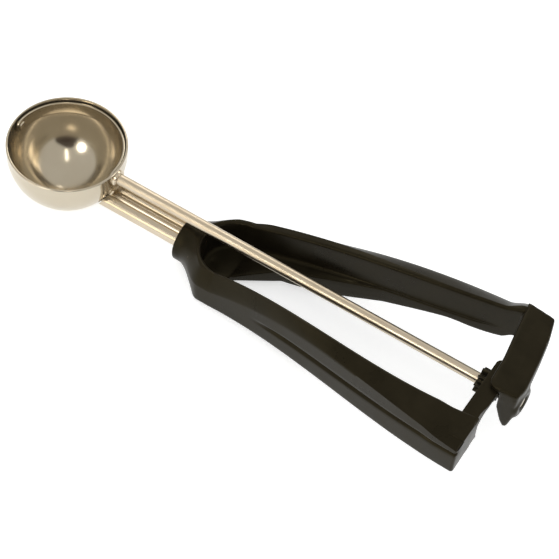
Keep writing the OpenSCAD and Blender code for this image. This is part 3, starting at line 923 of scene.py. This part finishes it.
# All cross sections of one half, and the number of the first one on the grip
def halfSections(side, end, roundEnd):
    frontX = forkX - handleShape["forkRadius"] - handleShape["rimWidth"]
    xs = [collarX + d for d in collarRows] + between(collarX + afterCollar, frontX, gridSteps["collar"])
    sections = [(collarSection(x), None, None) for x in xs]
    for k in range(gridSteps["fork"] + 1):
        sections.append((*forkSection(90 * k / gridSteps["fork"], side), None))
    forkIndex = len(sections) - 1
    apex, last = forkX + handleShape["apexX"], end - roundEnd
    xs = between(forkX, apex, gridSteps["beforeApex"])[1:] + [apex + d for d in apexRows]
    xs += between(apex + afterApex, last, gridSteps["grip"]) + [last]
    for x in xs:
        outside, inside, edge = gripSection(x, side)
        sections.append((outside, inside, edge if x >= apex else None))
    for turn in endAngles if roundEnd else ():
        a = math.radians(turn)
        inset = roundEnd * (1 - math.cos(a))
        sections.append(insetRuns(gripSection(end, side), last + roundEnd * math.sin(a), inset))
    return sections, forkIndex


# One half of the handle as a grid of columns: its faces in points, and which belong to the near grip
def handleHalf(side, sign, end, roundEnd=0.0):
    sections, forkIndex = halfSections(side, end, roundEnd)
    faces = []
    for k, (a, b) in enumerate(zip(sections, sections[1:])):
        strips = [(a[0], b[0])]
        for n in (1, 2):
            if a[n] and b[n]:
                strips.append(([a[n - 1][-1]] + a[n], [b[n - 1][-1]] + b[n]))
        for runA, runB in strips:
            for i in range(len(runA) - 1):
                faces.append(([runA[i], runB[i], runB[i + 1], runA[i + 1]], k >= forkIndex))
    faces.append((sections[0][0], False))
    cap = sections[-1]
    faces.append((cap[0] + cap[1] + cap[2][:-1], True))
    return [([(x, y * sign, z) for x, y, z in points], bends) for points, bends in faces]


def buildHandle():
    far = handleHalf(farSide, 1, farEnd + handleShape["farOverlap"])
    near = handleHalf(nearSide, -1, gripEnd, handleShape["endRound"])
    keys, verts, faces, flags = {}, [], [], []
    for points, bends in [(p, False) for p, _ in far] + near:
        face = []
        for p in points:
            key = tuple(round(v * weldSteps) for v in p)
            if key not in keys:
                keys[key] = len(verts)
                verts.append(place(*p))
            if keys[key] not in face:
                face.append(keys[key])
        if len(face) > 2:
            faces.append(face)
            flags.append(bends)
    mesh = bpy.data.meshes.new("handleWhole")
    mesh.from_pydata([tuple(v) for v in verts], [], faces)
    work = bmesh.new()
    work.from_mesh(mesh)
    bmesh.ops.recalc_face_normals(work, faces=work.faces)
    work.to_mesh(mesh)
    work.free()
    smoothByAngle(mesh, handleShape["sharp"])
    normals = [tuple(n.vector) for n in mesh.corner_normals]
    for name, wanted in (("handleFarHalf", False), ("handleNearGrip", True)):
        piece = partOfMesh(name, mesh, [i for i, flag in enumerate(flags) if flag == wanted], normals)
        if wanted:
            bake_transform(piece)
            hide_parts("near_grip")
        else:
            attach(piece, "frame")
            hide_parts("handle_neck", "far_grip")


# Takes some of a mesh's faces into a piece of their own, with the whole mesh's normals, so no seam shows
def partOfMesh(name, whole, faceNumbers, normals):
    remap, verts, faces, corners = {}, [], [], []
    for number in faceNumbers:
        face = []
        for loop in whole.polygons[number].loop_indices:
            vertex = whole.loops[loop].vertex_index
            if vertex not in remap:
                remap[vertex] = len(verts)
                verts.append(whole.vertices[vertex].co)
            face.append(remap[vertex])
            corners.append(normals[loop])
        faces.append(face)
    piece = rawPiece(name, verts, faces, blackPlastic)
    piece.data.shade_smooth()
    piece.data.normals_split_custom_set(corners)
    return piece


buildHandle()
print("handle made")


# Gives a piece its geometry from a node tree, and keeps only the plain mesh
def growFrom(piece, tree, values):
    modifier = piece.modifiers.new(tree.name, "NODES")
    modifier.node_group = tree
    for item in tree.interface.items_tree:
        if item.item_type == "SOCKET" and item.in_out == "INPUT" and item.name in values:
            modifier[item.identifier] = values[item.name]
    bakeModifiers(piece)


def finishTree(tree, out, geometry, material):
    real = addNode(tree, "GeometryNodeRealizeInstances", {"Geometry": geometry}).outputs[0]
    painted = addNode(tree, "GeometryNodeSetMaterial", {"Geometry": real, "Material": material}).outputs[0]
    tree.links.new(painted, out["Geometry"])


def combine(tree, **parts):
    return addNode(tree, "ShaderNodeCombineXYZ", parts).outputs[0]


def positionParts(tree):
    spot = addNode(tree, "GeometryNodeInputPosition").outputs[0]
    return addNode(tree, "ShaderNodeSeparateXYZ", {0: spot}).outputs


def shifted(tree, vector, offset):
    return addNode(tree, "ShaderNodeVectorMath", {0: vector, 1: offset}, operation="ADD").outputs[0]


gearShape = {
    "teeth": 8, "rootRadius": 2.8, "tipRadius": 5.0, "flank": (0.23, -0.89), "steps": 24,
    "frontTrim": 1.2, "rearTrim": 1.3, "edge": 0.2, "edgeAngle": 60, "sharp": 32,
    "hubRadius": 2.9, "hubLength": 1.15, "hubEdge": 0.15, "play": 0.02, "boreGap": 0.03, "hubSteps": 56,
}


# Gear: a circle whose radius swings between root and tip, drawn out along x
def gearTree():
    tree, size, out = newGroup(
        "gearWheel",
        [("Geometry", "Geometry", None), ("Teeth", "Int", 8), ("Steps", "Int", 24),
         ("Root Radius", "Float", 0.0028), ("Tip Radius", "Float", 0.005),
         ("Start", "Vector", None), ("Length", "Float", 0.01)],
        [("Geometry", "Geometry")], "GeometryNodeTree")
    count = mathNode(tree, "MULTIPLY", size["Teeth"], size["Steps"])
    disc = addNode(tree, "GeometryNodeMeshCircle", {"Vertices": count, "Radius": 1.0}, fill_type="NGON")
    spot = positionParts(tree)
    angle = mathNode(tree, "ARCTAN2", spot["Y"], spot["X"])
    wave = mathNode(tree, "COSINE", mathNode(tree, "MULTIPLY", angle, size["Teeth"]))
    tooth = spread(tree, wave, gearShape["flank"], (0.0, 1.0))
    radius = spread(tree, tooth, (0.0, 1.0), (size["Root Radius"], size["Tip Radius"]))
    flat = combine(tree, Y=mathNode(tree, "MULTIPLY", spot["X"], radius),
                   Z=mathNode(tree, "MULTIPLY", spot["Y"], radius))
    front = addNode(tree, "GeometryNodeSetPosition", {
        "Geometry": disc.outputs[0], "Position": shifted(tree, flat, size["Start"])}).outputs[0]
    drawn = addNode(tree, "GeometryNodeExtrudeMesh", {
        "Mesh": front, "Offset": combine(tree, X=size["Length"]), "Individual": False}).outputs["Mesh"]
    lid = addNode(tree, "GeometryNodeFlipFaces", {"Mesh": front}).outputs[0]
    both = addNode(tree, "GeometryNodeJoinGeometry")
    for half in (drawn, lid):
        tree.links.new(half, both.inputs[0])
    closed = addNode(tree, "GeometryNodeMergeByDistance", {
        "Geometry": both.outputs[0], "Distance": mergeGap}).outputs[0]
    finishTree(tree, out, closed, gearPlastic)
    return tree


def buildPinion():
    shape = gearShape
    low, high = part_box("pinion")
    x0, x1 = innerX(low.x) + shape["frontTrim"], innerX(high.x) - shape["rearTrim"]
    piece = rawPiece("pinionWheel", [], [], gearPlastic)
    growFrom(piece, gearTree(), {
        "Teeth": shape["teeth"], "Steps": shape["steps"], "Root Radius": shape["rootRadius"] * mm,
        "Tip Radius": shape["tipRadius"] * mm, "Start": tuple(place(x0, 0, 0)), "Length": (x1 - x0) * mm})
    bevelEdges(piece, shape)
    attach(piece, "ejector")
    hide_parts("pinion")
    bore, hub, edge = rodShape["radius"] + shape["boreGap"], shape["hubRadius"], shape["hubEdge"]
    front, rear = x1 + shape["play"], x1 + shape["hubLength"]
    ring = [(front, bore), (front, hub), (rear - edge, hub), (rear, hub - edge), (rear, bore)]
    collar = turnedPiece("pinionHub", ring, shape["hubSteps"], "x", gearPlastic, closed=True)
    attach(collar, "ejector")


rackShape = {
    "start": -31.0, "end": 7.0, "endRadius": 2.0, "bottom": 5.2, "top": 7.5, "web": 0.8, "webFoot": -6.3,
    "webRise": (-21, 8), "relief": 0.65, "reliefStart": (-24, 3.5), "reliefStop": (-17.5, 5),
    "frontGap": 0.4, "flexGap": 0.15, "toothCount": 7, "firstTooth": -1, "pitch": math.pi,
    "rootWidth": 2.1, "tipWidth": 0.65, "toothTip": 3.3, "toothInset": 0.9, "toothShift": -0.4,
    "toothRoom": 0.5, "toothRoot": 0.3,
    "rows": 60, "endAngles": (0, 18, 36, 54, 72, 90), "voxel": 0.18, "rounds": 7,
}


# Rack: one tapered tooth repeated on an arc about the line where the grip flexes
def rackTree():
    tree, size, out = newGroup(
        "rackTeeth",
        [("Geometry", "Geometry", None), ("Count", "Int", 7), ("First", "Int", -1),
         ("Step Angle", "Float", 0.028), ("Hinge", "Vector", None), ("Middle", "Vector", None),
         ("Length", "Float", 0.006), ("Root Width", "Float", 0.002), ("Tip Share", "Float", 0.3),
         ("Height", "Float", 0.002)],
        [("Geometry", "Geometry")], "GeometryNodeTree")
    box = combine(tree, X=size["Length"], Y=size["Root Width"], Z=size["Height"])
    block = addNode(tree, "GeometryNodeMeshCube", {"Size": box}).outputs[0]
    spot = positionParts(tree)
    height = mathNode(tree, "DIVIDE", spot["Z"], size["Height"])
    taper = spread(tree, height, (-0.5, 0.5), (size["Tip Share"], 1.0))
    shaped = combine(tree, X=spot["X"], Y=mathNode(tree, "MULTIPLY", spot["Y"], taper), Z=spot["Z"])
    tooth = addNode(tree, "GeometryNodeSetPosition", {
        "Geometry": block, "Position": shifted(tree, shaped, size["Middle"])}).outputs[0]
    row = addNode(tree, "GeometryNodeMeshLine", {"Count": size["Count"], "Offset": (0, 0, 0)}).outputs[0]
    copies = addNode(tree, "GeometryNodeInstanceOnPoints", {"Points": row, "Instance": tooth}).outputs[0]
    number = mathNode(tree, "ADD", addNode(tree, "GeometryNodeInputIndex").outputs[0], size["First"])
    turn = mathNode(tree, "MULTIPLY", mathNode(tree, "MULTIPLY", number, size["Step Angle"]), -1.0)
    turned = addNode(tree, "GeometryNodeRotateInstances", {
        "Instances": copies, "Rotation": combine(tree, Z=turn), "Pivot Point": size["Hinge"],
        "Local Space": False})
    finishTree(tree, out, turned.outputs[0], blackPlastic)
    return tree


# Voxel remesh and smoothing: the soft edges and blends of a moulded part
def soften(piece, shape):
    finishWith(piece, "REMESH", mode="VOXEL", voxel_size=shape["voxel"] * mm, use_smooth_shade=True)
    finishWith(piece, "SMOOTH", factor=0.5, iterations=shape["rounds"])
    piece.data.materials.clear()
    piece.data.materials.append(blackPlastic)
    piece.data.shade_smooth()


def buildRackBar():
    shape = rackShape
    verts, soft = [], shape["endRadius"]
    rows = between(shape["start"], shape["end"] - soft, shape["rows"])
    rows += [shape["end"] - soft * (1 - math.sin(math.radians(a))) for a in shape["endAngles"]]
    for y in rows:
        # cut back where the bar swings past the bearing as the grip closes
        relief = shape["relief"] * rise(y, *shape["reliefStart"]) * (1 - rise(y, *shape["reliefStop"]))
        past = max(0, y - shape["end"] + soft)
        inset = soft - math.sqrt(max(0, soft ** 2 - past ** 2))
        front, rear = nearEnd + shape["frontGap"] + inset, gripEnd - relief - inset
        foot = shape["webFoot"] + (shape["bottom"] - shape["webFoot"]) * rise(y, *shape["webRise"])
        web = rear - shape["web"]
        outline = ((front, shape["bottom"]), (web, shape["bottom"]), (web, foot), (rear, foot),
                   (rear, shape["top"]), (front, shape["top"]))
        verts += [place(x, y, z) for x, z in outline]
    corners = len(outline)
    faces = ringFaces(len(rows), corners)
    faces += [list(range(corners)), list(range(len(verts) - corners, len(verts)))]
    piece = meshPiece("rackBar", verts, faces, blackPlastic)
    teeth = rawPiece("rackTeeth", [], [], blackPlastic)
    hingeX, hingeY = forkX + shape["flexGap"], handleShape["shelfWidth"] - handleShape["forkRadius"]
    middle = (nearEnd + gripEnd) / 2
    height = shape["bottom"] + shape["toothRoot"] - shape["toothTip"]
    growFrom(teeth, rackTree(), {
        "Count": shape["toothCount"], "First": shape["firstTooth"],
        "Hinge": tuple(place(hingeX, hingeY, 0)),
        "Step Angle": shape["pitch"] / (gripEnd - handleShape["barWidth"] / 2 - hingeX),
        "Middle": tuple(place(middle + shape["toothShift"], 0, shape["toothTip"] + height / 2)),
        "Length": (gripEnd - nearEnd - shape["toothRoom"] - 2 * shape["toothInset"]) * mm,
        "Root Width": shape["rootWidth"] * mm, "Tip Share": shape["tipWidth"] / shape["rootWidth"],
        "Height": height * mm})
    both = bmesh.new()
    both.from_mesh(piece.data)
    both.from_mesh(teeth.data)
    both.to_mesh(piece.data)
    both.free()
    bpy.data.objects.remove(teeth)
    soften(piece, shape)
    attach(piece, "squeeze_grip")
    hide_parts("rack_bar")


blockShape = {"voxel": 0.34, "rounds": 48, "bossStart": 200.3, "bossKeep": 0.5}


def buildEndBlock():
    piece = rawPiece("endBlock", [], [], blackPlastic)
    work = bmesh.new()
    work.from_mesh(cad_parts["end_block"].data)
    bmesh.ops.remove_doubles(work, verts=work.verts, dist=mergeGap)
    start = place(blockShape["bossStart"], 0, 0).x
    for vert in work.verts:   # the boss stands out less than its bearing tube in the model
        if vert.co.x > start:
            vert.co.x = start + (vert.co.x - start) * blockShape["bossKeep"]
    work.to_mesh(piece.data)
    work.free()
    soften(piece, blockShape)
    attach(piece, "frame")
    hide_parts("end_block")


buildPinion()
buildRackBar()
buildEndBlock()
print("rack bar, end block and pinion made")

cameraShape = {"aim": (101.2, -7.1, 4.0), "distance": 0.8, "lens": 139.49, "sensor": 36,
               "azimuth": 26.87, "elevation": 54.17, "roll": 6.77}


def buildCamera():
    a, e, roll = (math.radians(cameraShape[key]) for key in ("azimuth", "elevation", "roll"))
    back = Vector((math.sin(a) * math.cos(e), -math.cos(a) * math.cos(e), math.sin(e)))
    right = Vector((math.cos(a), math.sin(a), 0))
    up = back.cross(right)
    c, n = math.cos(roll), math.sin(roll)
    axes = (right * c + up * n, up * c - right * n, back)
    spot = place(*cameraShape["aim"]) + back * cameraShape["distance"]
    data = bpy.data.cameras.new("photoCamera")
    data.lens = cameraShape["lens"]
    data.sensor_width = cameraShape["sensor"]
    camera = addObject("photoCamera", data)
    camera.matrix_world = Matrix.Translation(spot) @ Matrix(axes).transposed().to_4x4()
    bpy.context.scene.camera = camera


# The stage: pale floor, a glowing ceiling and round wall for the metal to mirror, and a dark card in front
studio = {
    "floorSize": 8.0, "floorDrop": 0.0002, "floorColor": (0.80, 0.83, 0.87, 1), "floorGlow": 0.60,
    "fillColor": (1.0, 0.965, 0.92, 1), "worldFill": 0.4,
    "cardHeight": 0.95, "cardSize": 9.0, "cardGlow": 0.71, "cardColor": (1.0, 0.98, 0.93),
    "wallRadius": 4.3, "wallSteps": 48,
    "darkAcross": 0.26, "darkDeep": 0.18, "darkWay": (0.49, -0.72, 0.49), "darkFar": 0.62,
    "darkColor": (0.035, 0.02, 0.015), "darkSteps": 28, "darkSwell": (0.16, 0.6, 0.1),
}
lampTint = (1, 0.95, 0.88)
lamps = {
    "keyLamp": {"way": (-0.03, -0.78, 0.63), "far": 0.8, "size": 0.26, "power": 1.0},
    "sideLamp": {"way": (-0.34, -0.90, 0.28), "far": 0.9, "size": 0.26, "sizeY": 0.3, "power": 0.6,
                 "color": (1, 0.88, 0.66)},
    "lowLamp": {"way": (-0.07, -1.0, 0.06), "far": 0.9, "size": 0.10, "power": 0.10},
    "overLamp": {"way": (0.30, -0.38, 0.88), "far": 0.9, "size": 0.08, "sizeY": 0.36, "power": 0.35},
    "leftLamp": {"way": (0.91, 0.41, 0.12), "far": 0.9, "size": 0.12, "sizeY": 0.4, "power": 0.7},
    "farLamp": {"way": (-0.3, 0.8, 0.7), "far": 0.85, "size": 0.3, "power": 0.7},
}


def whiteForCamera(tree):   # one where the camera, a mirror or glass looks straight at the surface
    path = addNode(tree, "ShaderNodeLightPath").outputs
    seen = mathNode(tree, "MAXIMUM", path["Is Camera Ray"], path["Is Glossy Ray"])
    return mathNode(tree, "MAXIMUM", seen, path["Is Transmission Ray"])


def buildWorld():
    world = bpy.data.worlds.new("studioWorld")
    bpy.context.scene.world = world
    world.use_nodes = True
    tree = world.node_tree
    tree.nodes.clear()
    white = addNode(tree, "ShaderNodeBackground", {"Color": (1, 1, 1, 1), "Strength": 1.0}).outputs[0]
    fill = addNode(tree, "ShaderNodeBackground", {
        "Color": studio["fillColor"], "Strength": studio["worldFill"]}).outputs[0]
    mix = addNode(tree, "ShaderNodeMixShader", {0: whiteForCamera(tree), 1: fill, 2: white})
    addNode(tree, "ShaderNodeOutputWorld", {"Surface": mix.outputs[0]})


def facing(way, distance):   # a place that far from the bowl in that direction, turned to look at it
    target = place(0, 0, 0)
    position = target + way * distance
    return Matrix.Translation(position) @ (target - position).to_track_quat("-Z", "Y").to_matrix().to_4x4()


def stagePiece(name, verts, faces, material, matrix=None):
    piece = rawPiece(name, verts, faces, material)
    if matrix:
        piece.matrix_world = matrix
    return piece


def stageCard(name, outline, matrix, material):
    return stagePiece(name, [(x, y, 0) for x, y in outline], [list(range(len(outline)))], material, matrix)


def square(size):
    half = size / 2
    return [(-half, -half), (half, -half), (half, half), (-half, half)]


def buildFloor():
    material, tree = blankMaterial("paleFloor")
    glow = mathNode(tree, "MULTIPLY", whiteForCamera(tree), studio["floorGlow"])
    paint = addNode(tree, "ShaderNodeBsdfDiffuse", {"Color": studio["floorColor"]})
    light = addNode(tree, "ShaderNodeEmission", {"Color": (1, 1, 1, 1), "Strength": glow})
    both = addNode(tree, "ShaderNodeAddShader", {0: paint.outputs[0], 1: light.outputs[0]})
    addNode(tree, "ShaderNodeOutputMaterial", {"Surface": both.outputs[0]})
    below = Matrix.Translation((0, 0, cadLow.z - studio["floorDrop"]))
    stageCard("floor", square(studio["floorSize"]), below, material)


def glowMaterial(name, color, strength):
    material, tree = blankMaterial(name)
    light = addNode(tree, "ShaderNodeEmission", {"Color": (*color, 1), "Strength": strength})
    addNode(tree, "ShaderNodeOutputMaterial", {"Surface": light.outputs[0]})
    return material


# The low round wall closes the horizon, so that the bowl mirrors no bright ring
def buildGlow():
    height, steps, radius = studio["cardHeight"], studio["wallSteps"], studio["wallRadius"]
    ceiling, around = (glowMaterial(name, studio["cardColor"], studio["cardGlow"])
                       for name in ("ceilingGlow", "wallGlow"))
    above = Matrix.Translation((0, 0, height))
    card = stageCard("ceilingCard", square(studio["cardSize"]), above, ceiling)
    card.visible_camera = False
    verts, faces = [], []
    for i in range(steps):
        a = 2 * math.pi * i / steps
        verts += [(radius * math.cos(a), radius * math.sin(a), z) for z in (cadLow.z, height)]
        j = (i + 1) % steps
        faces.append([2 * i, 2 * j, 2 * j + 1, 2 * i + 1])
    onlyMirrored(stagePiece("roundWall", verts, faces, around))


def onlyMirrored(piece):
    piece.visible_camera = False
    piece.visible_diffuse = False
    piece.visible_shadow = False


# An uneven dark card, which the bowl mirrors as the dark patch in its middle
def buildDarkCard():
    three, shift, two = studio["darkSwell"]
    blob = []
    for i in range(studio["darkSteps"]):
        a = 2 * math.pi * i / studio["darkSteps"]
        swell = 1 + three * math.cos(3 * a + shift) + two * math.sin(2 * a)
        blob.append((studio["darkAcross"] * swell * math.cos(a), studio["darkDeep"] * swell * math.sin(a)))
    onlyMirrored(stageCard("darkCard", blob, facing(Vector(studio["darkWay"]), studio["darkFar"]),
                           glowMaterial("darkGlow", studio["darkColor"], 1.0)))


def buildLamps():
    for name, lamp in lamps.items():
        data = bpy.data.lights.new(name, "AREA")
        data.shape = "RECTANGLE" if "sizeY" in lamp else "DISK"
        data.size = lamp["size"]
        data.size_y = lamp.get("sizeY", lamp["size"])
        data.energy = lamp["power"]
        data.color = lamp.get("color", lampTint)
        addObject(name, data).matrix_world = facing(Vector(lamp["way"]).normalized(), lamp["far"])


buildCamera()
buildWorld()
buildFloor()
buildGlow()
buildDarkCard()
buildLamps()
bpy.context.scene.view_settings.view_transform = "Standard"
print("stage made")
